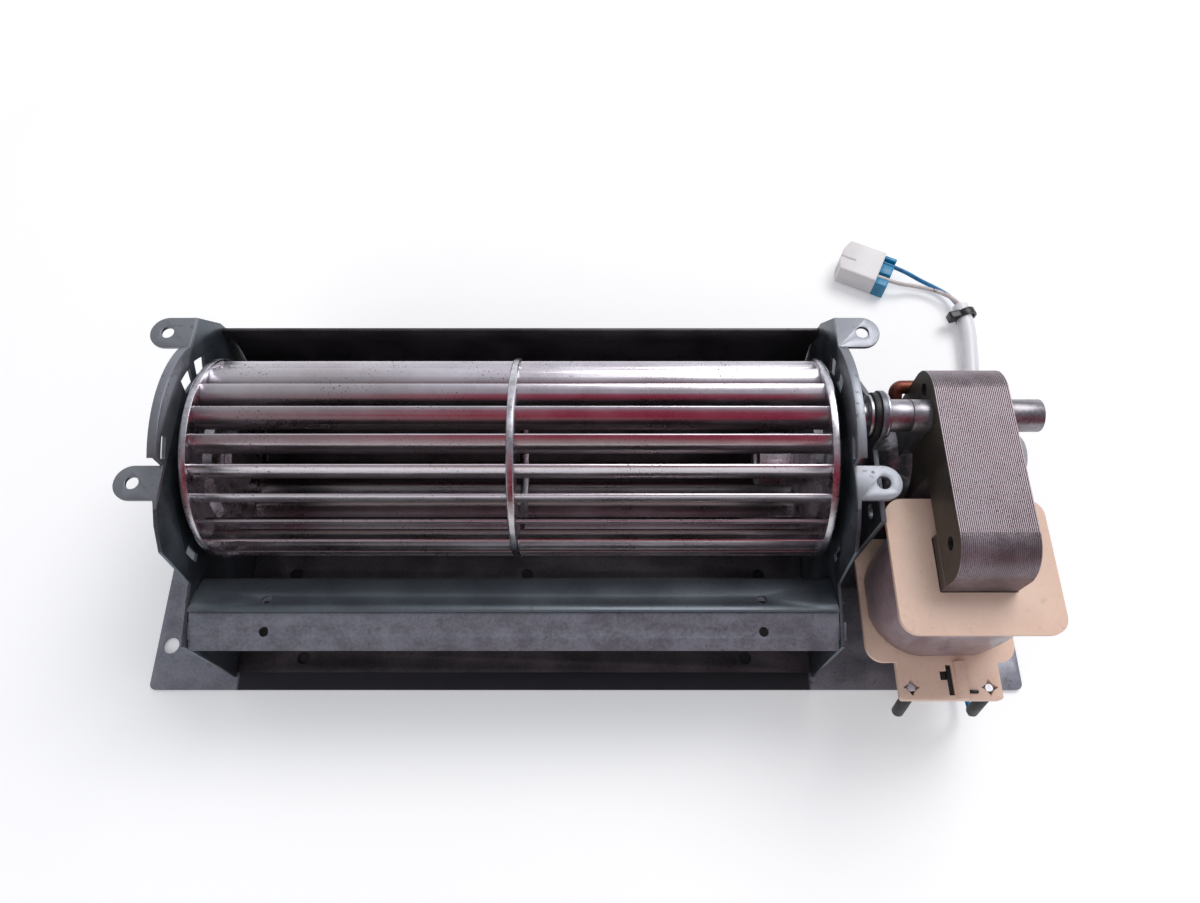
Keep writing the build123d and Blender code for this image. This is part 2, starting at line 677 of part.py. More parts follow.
def make_bearing_bracket(face, boss_t, dome_t, side, blind):
    """Cast strap over one face of the stack: two bosses, a bar and a bearing dome."""
    end = face + side * boss_t
    strap = across(Pos(0, AXIS_H) * Rectangle(BAR_W, 2 * POST_HALF), face, face + side * BAR_T)
    for s in (-1, 1):
        strap += rod(face, end, POST_R, 0, AXIS_H + s * POST_HALF)
    profile = make_face(Polyline(
        (0, face), (DOME_FOOT_R, face), (DOME_R, face + side * BAR_T),
        (DOME_SHOULDER[0], face + side * (dome_t - DOME_SHOULDER[1])), (DOME_TOP_R, face + side * dome_t),
        (0, face + side * dome_t), close=True))
    plane = Plane((0, 0, AXIS_H), x_dir=(0, 0, 1), z_dir=(0, 1, 0))
    strap += revolve(plane * profile, AXIS)
    start = face - side * PAST
    strap -= rod(start, face + side * (dome_t - DOME_WALL), BUSH_R)
    if not blind:
        strap -= rod(start, face + side * (dome_t + PAST), SHAFT_HOLE_R)
    hole_end = face + side * (boss_t - DOME_WALL if blind else boss_t + PAST)
    for s in (-1, 1):
        strap -= rod(start, hole_end, SCREW_R + SCREW_CLEAR, 0, AXIS_H + s * POST_HALF)
    return strap


def make_bush(x_end, side):
    """Sintered bush that ends at x_end."""
    return tube(x_end - side * BUSH_LENGTH, x_end, BUSH_R, SHAFT_R + RUNNING_CLEAR)


def make_end_rubber():
    """Rubber mount of the left bearing, grooved over the end plate."""
    rubber = tube(-PLATE_OUT - RUBBER_RIM_T, -PLATE_IN + RUBBER_INNER_T, RUBBER_R + RUBBER_RIM, BUSH_R)
    return rubber - tube(-PLATE_OUT, -PLATE_IN, RUBBER_R + RUBBER_RIM + PAST, RUBBER_R)


def make_rotor():
    """Rotor body with end rings, on the motor shaft."""
    rotor = tube(STACK_LEFT, STACK_RIGHT, BORE_R - AIR_GAP, SHAFT_R)
    edges = rotor.edges().filter_by(GeomType.CIRCLE).filter_by(lambda e: e.radius > SHAFT_R + PAST)
    return chamfer(edges, ROTOR_EDGE)


# ---- coil

LIMB_Y = (STACK_FRONT + LIMB_BACK) / 2
CORE_HALF_X = STACK_T / 2 + TUBE_CLEAR
CORE_HALF_Y = LIMB_W / 2 + TUBE_CLEAR
BLOCK_Z = FLANGE_LOW - BLOCK_DROP


def star(tip_r):
    """Four-pointed opening."""
    radii = (tip_r, STAR_BAY * tip_r)
    turns = [math.radians(45 * i) for i in range(8)]
    return make_face(Polyline(
        *[(radii[i % 2] * math.cos(t), radii[i % 2] * math.sin(t)) for i, t in enumerate(turns)], close=True))


def make_bobbin():
    """Bobbin: square tube, two flanges, and the terminal block on the lower one."""
    span_x, span_y = FLANGE_X, FLANGE_BACK - FLANGE_FRONT
    flange = Pos(STACK_X, (FLANGE_FRONT + FLANGE_BACK) / 2) * RectangleRounded(span_x, span_y, FLANGE_R)
    core = Pos(STACK_X, LIMB_Y) * Rectangle(2 * CORE_HALF_X, 2 * CORE_HALF_Y)
    wall = Pos(STACK_X, LIMB_Y) * Rectangle(2 * (CORE_HALF_X + TUBE_WALL), 2 * (CORE_HALF_Y + TUBE_WALL))
    low, high = Pos(0, 0, FLANGE_LOW), Pos(0, 0, FLANGE_TOP - FLANGE_T)
    bobbin = low * extrude(wall - core, FLANGE_TOP - FLANGE_LOW)
    bobbin += low * extrude(flange - core, FLANGE_T) + high * extrude(flange - core, FLANGE_T)
    block = box((BLOCK_LEFT, BLOCK_RIGHT), (BLOCK_FRONT, BLOCK_BACK), (BLOCK_Z, BLOCK_Z + BLOCK_T))
    block = fillet(block.edges().filter_by(Axis.Z).sort_by(Axis.Y)[:2], BLOCK_ROUND)
    rib_middle = Pos(RIB_X, (FLANGE_FRONT + BLOCK_FRONT) / 2, BLOCK_Z + BLOCK_T - RIB_SINK)
    block += rib_middle * Rot(90, 0, 0) * Cylinder(RIB_R, FLANGE_FRONT - BLOCK_FRONT)
    block -= [box(xs, ys, (0, FLANGE_TOP)) for xs, ys in BLOCK_SLOTS]
    for x in PIN_X:
        block -= Pos(x, PIN_Y, BLOCK_Z - PAST) * extrude(star(STAR_R), BLOCK_T + 2 * PAST)
    return bobbin + block


def make_winding():
    """Taped coil between the flanges, bulging between rounded corners."""
    y_front, y_back = FLANGE_FRONT + WINDING_INSET, FLANGE_BACK - WINDING_INSET
    side_x = FLANGE_X / 2 - WINDING_INSET
    outline = Pos(STACK_X, (y_front + y_back) / 2) * RectangleRounded(2 * side_x, y_back - y_front, WINDING_R)
    hole = Pos(STACK_X, LIMB_Y) * Rectangle(2 * (CORE_HALF_X + TUBE_WALL), 2 * (CORE_HALF_Y + TUBE_WALL))
    low, high = FLANGE_LOW + FLANGE_T, FLANGE_TOP - FLANGE_T
    return Pos(0, 0, low) * extrude(outline - hole, high - low)


def make_pins():
    """Terminal pins that stand in the star openings."""
    return Compound([
        (Pos(x, PIN_Y, BLOCK_Z + PIN_LENGTH / 2) * Cylinder(PIN_R, PIN_LENGTH)).solid() for x in PIN_X])


def make_boot(x):
    """Soft boot from the underside of the terminal block to the lead."""
    start, end = Vector(x, PIN_Y - BOOT_SHIFT, BLOCK_Z + BLOCK_T), Vector(x, *BOOT_END)
    along = end - start
    boot = Plane(origin=start, z_dir=along) * Pos(0, 0, along.length / 2) * Cylinder(BOOT_R, along.length)
    above = box((BLOCK_LEFT - BOOT_R, BLOCK_RIGHT + BOOT_R), (BLOCK_FRONT, BLOCK_BACK), (BLOCK_Z, FLANGE_TOP))
    return (boot - above).solid()


# ---- cable

def route_tube(name, points, radius):
    """Tube along straight runs joined by tangent arcs as large as their runs allow."""
    points = [Vector(*p) for p in points]
    runs = [b - a for a, b in zip(points, points[1:])]
    radii = []
    for before, after in zip(runs, runs[1:]):
        half_turn = math.radians(before.get_angle(after)) / 2
        radii.append(0.45 * min(before.length, after.length) / math.tan(half_turn))
    print(name, "radii", [round(r, 1) for r in radii])
    path = Wire(FilletPolyline(*points, radius=radii).edges())
    solid = sweep(Plane(origin=path @ 0, z_dir=path % 0) * Circle(radius), path=path)
    print(name, "length", round(path.length, 1), "volume", round(solid.volume, 1),
          "section x length", round(math.pi * radius ** 2 * path.length, 1))
    return solid


def make_cable_tie():
    """Tie round the sleeve, with its head on the right."""
    middle = (Vector(*SLEEVE_ROUTE[-2]) + Vector(*SLEEVE_ROUTE[-1])) * 0.5
    along = Vector(*SLEEVE_ROUTE[-1]) - Vector(*SLEEVE_ROUTE[-2])
    plane = Plane(origin=middle, x_dir=(0, 0, 1), z_dir=along)
    bore = SLEEVE_R + TIE_CLEAR
    band = Circle(bore + TIE_T) + Pos(*TIE_HEAD_AT) * RectangleRounded(*TIE_HEAD, TIE_HEAD_ROUND)
    return plane * extrude(band - Circle(bore), TIE_W / 2, both=True)


def connector_frame():
    """Frame at the middle of the wire face: x along the plug away from the wires."""
    turn = math.radians(CONNECTOR_TURN)
    return Plane(origin=(*CONNECTOR_FACE, 0), x_dir=(math.cos(turn), math.sin(turn), 0), z_dir=(0, 0, 1))


def make_connector_housing():
    """Plug housing, narrower and thinner at its mating end, with a latch."""
    frame = connector_frame()
    body = Pos(CONNECTOR_L / 2, 0, CONNECTOR_H / 2) * Box(CONNECTOR_L, CONNECTOR_W, CONNECTOR_H)
    body = chamfer(body.edges().filter_by(Axis.Z).sort_by(Axis.X)[-2:], NOSE_L, NOSE_IN)
    body = fillet(body.edges().filter_by(Axis.X), CONNECTOR_ROUND)
    body -= Pos(CONNECTOR_L, 0, CONNECTOR_H / 2) * Box(2 * SOCKET_DEPTH, SOCKET_W, SOCKET_H)
    body += Pos(CONNECTOR_L / 2, 0, CONNECTOR_H / 2) * Box(SOCKET_DEPTH, SOCKET_WEB, SOCKET_H)
    length, width, depth = LATCH_SLOT
    body -= Pos(*LATCH_AT, CONNECTOR_H) * Box(length, width, 2 * depth)
    return frame * body


def make_connector_insert():
    """Insert behind the housing: tongues on each side of the two wire channels."""
    frame = connector_frame()
    insert = Pos(-INSERT_L / 2, 0, INSERT_H / 2) * Box(INSERT_L, INSERT_W, INSERT_H)
    for entry in WIRE_ENTRY:
        insert -= box((-INSERT_L - PAST, PAST), (-entry - CHANNEL_HALF, -entry + CHANNEL_HALF),
                      (WIRE_ENTRY_Z - CHANNEL_HALF, INSERT_H + PAST))
    return frame * insert


def build():
    """Every node of the fan, by name."""
    inner_dome_end = STACK_LEFT - DOME_IN_T
    outer_dome_end = STACK_RIGHT + DOME_OUT_T
    return {
        "base_plate": make_base_plate(),
        "scroll_casing": make_scroll_casing(),
        "tongue_plate": make_tongue_plate(),
        "duct_roof": make_duct_roof(),
        "end_plate_left": make_cheek(-1, RUBBER_R),
        "end_plate_right": make_cheek(1, CHEEK_BORE_R),
        "drum_blades": make_blades(),
        "drum_disc_left": make_disc(-1, SHAFT_R),
        "drum_disc_right": make_disc(1, SHAFT_R),
        "drum_middle_ring": make_middle_ring(),
        "drive_hub": make_drive_hub(),
        "hub_set_screw": make_set_screw(),
        "stub_shaft": make_stub_shaft(),
        "motor_shaft": rod(SHAFT_IN, SHAFT_END, SHAFT_R),
        "rotor": make_rotor(),
        "end_bearing_rubber": make_end_rubber(),
        "end_bearing_bush": make_bush(-PLATE_OUT - RUBBER_RIM_T - BUSH_PROUD, -1),
        "motor_bracket": make_motor_bracket(),
        "foot_rivets": make_foot_rivets(),
        "motor_grommets": posts(make_grommet),
        "grommet_washers": posts(make_washer),
        "spacer_sleeves": posts(make_spacer),
        "motor_screws": posts(make_screw),
        "stator_core": make_stack(),
        "core_limb": make_limb(),
        "shading_rings": Compound([make_shading_ring(pair) for pair in SHADING_PAIRS]),
        "inner_bearing_bracket": make_bearing_bracket(STACK_LEFT, BOSS_IN_T, DOME_IN_T, -1, False),
        "outer_bearing_bracket": make_bearing_bracket(STACK_RIGHT, BOSS_OUT_T, DOME_OUT_T, 1, True),
        "inner_bush": make_bush(inner_dome_end + DOME_WALL, -1),
        "outer_bush": make_bush(outer_dome_end - DOME_WALL, 1),
        "bobbin": make_bobbin(),
        "coil_winding": make_winding(),
        "terminal_pins": make_pins(),
        "terminal_boots": Compound([make_boot(x) for x in PIN_X]),
        "white_lead": route_tube("white_lead", WHITE_LEAD_ROUTE, WIRE_R),
        "blue_lead": route_tube("blue_lead", BLUE_LEAD_ROUTE, WIRE_R),
        "cable_sleeve": route_tube("cable_sleeve", SLEEVE_ROUTE, SLEEVE_R),
        "cable_tie": make_cable_tie(),
        "white_wire": route_tube("white_wire", WHITE_ROUTE, WIRE_R),
        "blue_wire": route_tube("blue_wire", BLUE_ROUTE, WIRE_R),
        "connector_housing": make_connector_housing(),
        "connector_insert": make_connector_insert(),
    }


if __name__ == "__main__":
    os.makedirs("parts", exist_ok=True)
    for node, shape in build().items():
        export_step(shape, f"parts/{node}.step")
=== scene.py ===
# %% [markdown]
# # Dressing a cross flow fan
# The part arrives as a fixed frame of solids at their real size. This lesson gives each surface its finish,
# lays the cable as smooth curves and rebuilds the few pieces whose looks need more than a plain solid: the
# lamination stack and the taped coil.
# %% Load the frame
import json
import math

import bpy
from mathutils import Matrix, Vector


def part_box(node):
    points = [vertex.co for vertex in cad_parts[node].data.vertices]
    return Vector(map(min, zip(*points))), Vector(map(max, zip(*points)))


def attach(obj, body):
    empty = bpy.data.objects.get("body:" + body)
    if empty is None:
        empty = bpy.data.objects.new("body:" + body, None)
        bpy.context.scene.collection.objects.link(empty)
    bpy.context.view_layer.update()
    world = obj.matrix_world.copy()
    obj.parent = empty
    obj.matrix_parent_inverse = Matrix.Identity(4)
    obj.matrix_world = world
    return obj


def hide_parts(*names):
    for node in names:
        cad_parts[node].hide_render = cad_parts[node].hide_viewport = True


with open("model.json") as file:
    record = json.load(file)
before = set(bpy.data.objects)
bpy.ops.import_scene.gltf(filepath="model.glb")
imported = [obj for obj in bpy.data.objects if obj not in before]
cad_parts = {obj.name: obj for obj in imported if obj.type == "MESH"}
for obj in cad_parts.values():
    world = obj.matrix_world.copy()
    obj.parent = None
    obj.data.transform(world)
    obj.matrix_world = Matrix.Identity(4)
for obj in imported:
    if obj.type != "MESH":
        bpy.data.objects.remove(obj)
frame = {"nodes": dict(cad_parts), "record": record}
nodes = frame["nodes"]
body_of_node = {n: b for b, names in frame["record"]["behaviour"]["bodies"].items() for n in names}
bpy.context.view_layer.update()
MM = 0.001

# %% [markdown]
# ## Camera
# The fan is seen from above its outlet, close and steeply down, so the near edges spread and the end plates
# show their inner and outer faces. The camera is placed as given.
# %% Camera
CAMERA_AT = (24.5 * MM, -113.0 * MM, 293.0 * MM)
CAMERA_TILT = math.radians(25)
LENS = 26.85
SENSOR = 36.0
bpy.ops.object.camera_add(location=CAMERA_AT, rotation=(CAMERA_TILT, 0, 0))
camera = bpy.context.object
camera.data.sensor_width = SENSOR
camera.data.lens = LENS
camera.data.clip_start = 10 * MM
bpy.context.scene.camera = camera
print("camera at", CAMERA_AT, "with a lens of", LENS)

# %% [markdown]
# ## Cable
# A cable is a fixed length of something flexible. Each lead is one NURBS curve whose
# control points are the corners of its route, so it bends smoothly and lies on the table.
# A round bevel gives it its thickness: it is 1 m deep and each point scales it down to the
# cord's own radius, so that the curve's box is the cord's box.
# %% Cable routes, in millimetres
SLEEVE_ROUTE = [
    (128.0, -34.0, 4.3), (127.0, -10.0, 4.2), (133.0, 14.0, 4.2), (148.0, 32.0, 4.4),
    (161.6, 48.0, 3.7), (163.6, 62.0, 3.3), (164.6, 75.0, 4.0), (163.2, 83.5, 4.0),
]
WHITE_ROUTE = [
    (162.7, 83.6, 4.95), (160.6, 87.6, 4.4), (154.6, 91.8, 3.0), (146.5, 93.8, 3.2),
    (139.8, 92.9, 5.6), (132.6, 96.05, 6.0),
]
BLUE_ROUTE = [
    (163.45, 83.75, 3.05), (161.4, 89.0, 2.4), (156.8, 93.6, 1.4), (149.6, 96.4, 3.2),
    (143.0, 99.1, 5.6), (135.6, 102.5, 6.0),
]
WHITE_LEAD_ROUTE = [
    (114.9, -69.63, 12.88), (115.8, -70.3, 9.6), (118.2, -68.2, 6.4), (121.5, -63.5, 4.4),
    (124.0, -56.5, 3.1), (126.0, -48.0, 2.9), (127.0, -40.5, 3.6), (127.1, -34.2, 4.3),
]
BLUE_LEAD_ROUTE = [
    (137.5, -69.63, 12.88), (138.3, -70.3, 9.6), (139.6, -68.2, 6.4), (140.0, -63.5, 4.4),
    (138.0, -56.5, 3.1), (133.5, -48.0, 2.9), (130.2, -40.5, 3.6), (128.9, -34.2, 4.3),
]
SLEEVE_R = 3.0 * MM
WIRE_R = 0.8 * MM


def lay_cord(name, route, radius):
    """One smooth curve with a round section along a route."""
    data = bpy.data.curves.new(name, "CURVE")
    data.dimensions = "3D"
    data.resolution_u = 10
    data.bevel_depth = 1.0
    data.bevel_resolution = 5
    data.use_fill_caps = True
    spline = data.splines.new("NURBS")
    spline.points.add(len(route) - 1)
    for point, (x, y, z) in zip(spline.points, route):
        point.co = (x * MM, y * MM, z * MM, 1.0)
        point.radius = radius
    spline.order_u = 3
    spline.use_endpoint_u = True
    cord = bpy.data.objects.new(name, data)
    bpy.context.collection.objects.link(cord)
    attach(cord, "housing")
    return cord


cable_sleeve = lay_cord("white_cable_sleeve", SLEEVE_ROUTE, SLEEVE_R)
white_wire = lay_cord("white_plug_wire", WHITE_ROUTE, WIRE_R)
blue_wire = lay_cord("blue_plug_wire", BLUE_ROUTE, WIRE_R)
white_lead = lay_cord("white_motor_lead", WHITE_LEAD_ROUTE, WIRE_R)
blue_lead = lay_cord("blue_motor_lead", BLUE_LEAD_ROUTE, WIRE_R)
for cord, node in ((cable_sleeve, "cable_sleeve"), (white_wire, "white_wire"), (blue_wire, "blue_wire"),
                   (white_lead, "white_lead"), (blue_lead, "blue_lead")):
    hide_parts(node)
    print(cord.name, "stands for", node)

# %% [markdown]
# ## Shared surface effects
# Real surfaces are never one flat colour. Some effects come back in many finishes, so each is
# a node group with named sockets: soft patches with fine grain, long drawn streaks, scattered
# specks of dirt, and a mask of how far a point lies from the drum axis. They read Object
# coordinates, so they stay put on each piece.
# %% Node helpers


def link_all(tree, pairs):
    for a, b in pairs:
        tree.links.new(a, b)


def new_group(name, inputs, outputs):
    """Empty shader group: inputs are (name, socket type, default) and outputs (name, type)."""
    tree = bpy.data.node_groups.new(name, "ShaderNodeTree")
    for label, kind, default in inputs:
        socket = tree.interface.new_socket(name=label, in_out="INPUT", socket_type=kind)
        if default is not None:
            socket.default_value = default
    for label, kind in outputs:
        tree.interface.new_socket(name=label, in_out="OUTPUT", socket_type=kind)
    return tree, tree.nodes.new("NodeGroupInput"), tree.nodes.new("NodeGroupOutput")


FLOAT, COLOR, VECTOR = "NodeSocketFloat", "NodeSocketColor", "NodeSocketVector"


def noise(tree, vector, scale, detail=4.0, roughness=0.55):
    node = tree.nodes.new("ShaderNodeTexNoise")
    node.inputs["Detail"].default_value = detail
    node.inputs["Roughness"].default_value = roughness
    tree.links.new(vector, node.inputs["Vector"])
    if isinstance(scale, (int, float)):
        node.inputs["Scale"].default_value = scale
    else:
        tree.links.new(scale, node.inputs["Scale"])
    return node.outputs["Fac"]


def math_node(tree, operation, a, b=None, clamp=False):
    node = tree.nodes.new("ShaderNodeMath")
    node.operation = operation
    node.use_clamp = clamp
    for socket, value in zip(node.inputs, (a, b)):
        if value is None:
            continue
        if isinstance(value, (int, float)):
            socket.default_value = value
        else:
            tree.links.new(value, socket)
    return node.outputs[0]


def span(tree, value, low, high, to_low=0.0, to_high=1.0):
    node = tree.nodes.new("ShaderNodeMapRange")
    node.inputs["From Min"].default_value = low
    node.inputs["From Max"].default_value = high
    node.inputs["To Min"].default_value = to_low
    node.inputs["To Max"].default_value = to_high
    tree.links.new(value, node.inputs["Value"])
    return node.outputs["Result"]


def split(tree, vector):
    """The X, Y and Z outputs of a vector."""
    node = tree.nodes.new("ShaderNodeSeparateXYZ")
    tree.links.new(vector, node.inputs[0])
    return node.outputs


def mix_color(tree, factor, a, b):
    node = tree.nodes.new("ShaderNodeMix")
    node.data_type = "RGBA"
    for socket, value in ((node.inputs[0], factor), (node.inputs[6], a), (node.inputs[7], b)):
        if isinstance(value, (int, float)):
            socket.default_value = value
        elif isinstance(value, tuple):
            socket.default_value = (*value, 1.0)[:4]
        else:
            tree.links.new(value, socket)
    return node.outputs[2]


# %% Patches and grain
GRAIN_GAIN = 4.0
PATCH_SPAN = (0.32, 0.68)
patches, patch_in, patch_out = new_group(
    "patches_and_grain",
    [("Vector", VECTOR, None), ("Light", COLOR, (0.5, 0.5, 0.5, 1)), ("Dark", COLOR, (0.3, 0.3, 0.3, 1)),
     ("Patch Scale", FLOAT, 40.0), ("Grain Scale", FLOAT, 900.0), ("Grain", FLOAT, 0.3)],
    [("Color", COLOR), ("Mask", FLOAT), ("Height", FLOAT)])
soft = noise(patches, patch_in.outputs["Vector"], patch_in.outputs["Patch Scale"])
grain = noise(patches, patch_in.outputs["Vector"], patch_in.outputs["Grain Scale"], detail=2.0)
grain_part = math_node(patches, "MULTIPLY", math_node(patches, "SUBTRACT", grain, 0.5),
                       patch_in.outputs["Grain"])
mask = math_node(patches, "ADD", span(patches, soft, *PATCH_SPAN),
                 math_node(patches, "MULTIPLY", grain_part, GRAIN_GAIN), clamp=True)
shade = mix_color(patches, mask, patch_in.outputs["Dark"], patch_in.outputs["Light"])
link_all(patches, [(shade, patch_out.inputs["Color"]), (mask, patch_out.inputs["Mask"]),
                   (grain, patch_out.inputs["Height"])])

# %% Drawn streaks
STREAK_SPAN = (0.35, 0.65)
streaks, streak_in, streak_out = new_group(
    "drawn_streaks",
    [("Vector", VECTOR, None), ("Stretch", VECTOR, (0.02, 1.0, 1.0)), ("Scale", FLOAT, 1200.0)],
    [("Mask", FLOAT), ("Height", FLOAT)])
stretch = streaks.nodes.new("ShaderNodeVectorMath")
stretch.operation = "MULTIPLY"
link_all(streaks, [(streak_in.outputs["Vector"], stretch.inputs[0]),
                   (streak_in.outputs["Stretch"], stretch.inputs[1])])
lines = noise(streaks, stretch.outputs[0], streak_in.outputs["Scale"], detail=3.0, roughness=0.6)
link_all(streaks, [(span(streaks, lines, *STREAK_SPAN), streak_out.inputs["Mask"]),
                   (lines, streak_out.inputs["Height"])])

# %% Specks of dirt
BROAD_SCALE = 60.0
FINE_SPAN, BROAD_SPAN = (0.62, 0.70), (0.40, 0.62)
specks, speck_in, speck_out = new_group(
    "specks_of_dirt",
    [("Vector", VECTOR, None), ("Color", COLOR, (0.5, 0.5, 0.5, 1)), ("Dirt", COLOR, (0.05, 0.04, 0.03, 1)),
     ("Scale", FLOAT, 500.0), ("Amount", FLOAT, 0.5)],
    [("Color", COLOR), ("Mask", FLOAT)])
fine = noise(specks, speck_in.outputs["Vector"], speck_in.outputs["Scale"], detail=2.0)
fine = span(specks, fine, *FINE_SPAN)
broad = noise(specks, speck_in.outputs["Vector"], BROAD_SCALE, detail=3.0)
broad = span(specks, broad, *BROAD_SPAN)
both = math_node(specks, "MULTIPLY", fine, broad)
dirt_mask = math_node(specks, "MULTIPLY", both, speck_in.outputs["Amount"], clamp=True)
specked = mix_color(specks, dirt_mask, speck_in.outputs["Color"], speck_in.outputs["Dirt"])
link_all(specks, [(specked, speck_out.inputs["Color"]), (dirt_mask, speck_out.inputs["Mask"])])

# %% Distance from the drum axis
AXIS_H = sum(corner[2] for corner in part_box("drum_middle_ring")) / 2
NEAR, FAR = 24.0 * MM, 29.0 * MM
depth, depth_in, depth_out = new_group(
    "distance_from_axis", [("Vector", VECTOR, None), ("Near", FLOAT, NEAR), ("Far", FLOAT, FAR)],
    [("Mask", FLOAT)])
point = split(depth, depth_in.outputs["Vector"])
rise = math_node(depth, "SUBTRACT", point["Z"], AXIS_H)
squares = math_node(depth, "ADD", math_node(depth, "POWER", point["Y"], 2.0),
                    math_node(depth, "POWER", rise, 2.0))
reach = span(depth, math_node(depth, "SQRT", squares), NEAR, FAR)
link_all(depth, [(depth_in.outputs["Near"], reach.node.inputs["From Min"]),
                 (depth_in.outputs["Far"], reach.node.inputs["From Max"]), (reach, depth_out.inputs["Mask"])])
print("groups:", [g.name for g in bpy.data.node_groups])

# %% [markdown]
# ## Finishes
# One recipe serves most finishes: patches and grain give the colour, streaks break up the
# gloss along the way the metal was rolled, and specks lay dirt on top. A finish differs in
# its colours, scales, metalness and how strong each effect is.
# %% The finish recipe
STREAK_TINT = 0.18
LIT_TINT = 0.45
DIRT_DULLS = 0.3
BUMP_DEPTH = 0.05 * MM
EAR_FADE, SIDE_FADE, BACK_FADE = 0.3 * MM, 1 * MM, 6 * MM


def group_node(tree, group, **values):
    node = tree.nodes.new("ShaderNodeGroup")
    node.node_tree = group
    for label, value in values.items():
        socket = node.inputs[label.replace("_", " ")]
        if hasattr(value, "is_output"):
            tree.links.new(value, socket)
        else:
            socket.default_value = (*value, 1.0) if socket.type == "RGBA" else value
    return node


def finish(name, light, dark, metallic=0.0, roughness=(0.4, 0.55), patch_scale=40.0, grain_scale=900.0,
           grain=0.3, stretch=None, streak_scale=1200.0, dirt=(0.05, 0.04, 0.03), dirt_amount=0.0,
           dirt_scale=500.0, bump=0.1, axis_shade=None, lit_above=None, shade_under_duct=None, **sockets):
    """A finish from the shared effects. Colours are linear, roughness is (low, high).

    axis_shade is (near, far, colour): a painted shade whose colour lies at the near distance from the drum
    axis and fades out at the far one. lit_above is (height, colour): a painted highlight, a lighter colour
    above a height. shade_under_duct is (half width, back, colour): a painted shade, near black, where the
    duct covers a plate, in front of the back.
    """
    material = bpy.data.materials.new(name)
    material.use_nodes = True
    tree = material.node_tree
    shader = tree.nodes["Principled BSDF"]
    place = tree.nodes.new("ShaderNodeTexCoord").outputs["Object"]
    base = group_node(tree, patches, Vector=place, Light=light, Dark=dark, Patch_Scale=patch_scale,
                      Grain_Scale=grain_scale, Grain=grain)
    color, gloss, height = base.outputs["Color"], base.outputs["Mask"], base.outputs["Height"]
    if stretch:
        drawn = group_node(tree, streaks, Vector=place, Stretch=stretch, Scale=streak_scale)
        gloss, height = drawn.outputs["Mask"], drawn.outputs["Height"]
        color = mix_color(tree, math_node(tree, "MULTIPLY", gloss, STREAK_TINT), color, light)
    # Painted highlight: above the given height the colour turns lighter, for the light that faces turned
    # upwards catch.
    if lit_above:
        bottom, lit_colour = lit_above
        above = span(tree, split(tree, place)["Z"], bottom, bottom + EAR_FADE)
        color = mix_color(tree, above, color, mix_color(tree, LIT_TINT, lit_colour, color))
    # Painted shade: where the duct covers the plate its colour turns near black, for the shade under the
    # housing.
    if shade_under_duct:
        half_width, back, under_duct_shade = shade_under_duct
        spot = split(tree, place)
        beside = span(tree, math_node(tree, "ABSOLUTE", spot["X"]), half_width, half_width + SIDE_FADE)
        behind = span(tree, spot["Y"], back, back + BACK_FADE)
        color = mix_color(tree, math_node(tree, "MAXIMUM", beside, behind), under_duct_shade, color)
    # Painted shade: the colour darkens towards the drum axis, for the shade deeper between the blades.
    if axis_shade:
        near, far, black = axis_shade
        mask = group_node(tree, depth, Vector=place, Near=near, Far=far).outputs["Mask"]
        color = mix_color(tree, mask, black, color)
    dirty = group_node(tree, specks, Vector=place, Color=color, Dirt=dirt, Scale=dirt_scale,
                       Amount=dirt_amount)
    dull = math_node(tree, "MULTIPLY", dirty.outputs["Mask"], DIRT_DULLS)
    rough = math_node(tree, "ADD", span(tree, gloss, 0.0, 1.0, *roughness), dull, clamp=True)
    bumps = tree.nodes.new("ShaderNodeBump")
    bumps.inputs["Strength"].default_value = bump
    bumps.inputs["Distance"].default_value = BUMP_DEPTH
    link_all(tree, [(dirty.outputs["Color"], shader.inputs["Base Color"]),
                    (rough, shader.inputs["Roughness"]), (height, bumps.inputs["Height"]),
                    (bumps.outputs["Normal"], shader.inputs["Normal"])])
    shader.inputs["Metallic"].default_value = metallic
    for label, value in sockets.items():
        shader.inputs[label.replace("_", " ")].default_value = value
    return material


# %% Finishes of the metal pieces
LIT_BAND = 9.4 * MM
SHADE_INSET = 3 * MM
SHADE_NEAR, SHADE_FAR = 24.2 * MM, 27.2 * MM
EAR_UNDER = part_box("end_plate_left")[1][2] - LIT_BAND
DUCT_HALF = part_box("scroll_casing")[1][0] - SHADE_INSET
# The base plate gets a painted shade, near black, under the duct and in front of its back edge.
base_sheet = finish("galvanised_base", (0.29, 0.30, 0.345), (0.19, 0.197, 0.23), 0.5, (0.38, 0.52),
                    patch_scale=120.0, grain_scale=1300.0, grain=0.4, dirt_amount=0.5, bump=0.1,
                    shade_under_duct=(DUCT_HALF, 0.0, (0.030, 0.031, 0.037)))
# The two lips are one galvanised sheet in two copies: the tongue plate is darker as painted shade, the duct
# roof lighter as the lit copy.
tongue_sheet = finish("shaded_tongue_plate", (0.115, 0.138, 0.158), (0.08, 0.095, 0.112), 0.6, (0.34, 0.46),
                      patch_scale=70.0, grain_scale=1300.0, grain=0.25, dirt_amount=0.3, bump=0.08)
roof_sheet = finish("spangled_duct_roof", (0.20, 0.215, 0.25), (0.13, 0.138, 0.163), 0.35, (0.4, 0.54),
                    patch_scale=150.0, grain_scale=1100.0, grain=0.5, dirt_amount=0.4, bump=0.12)
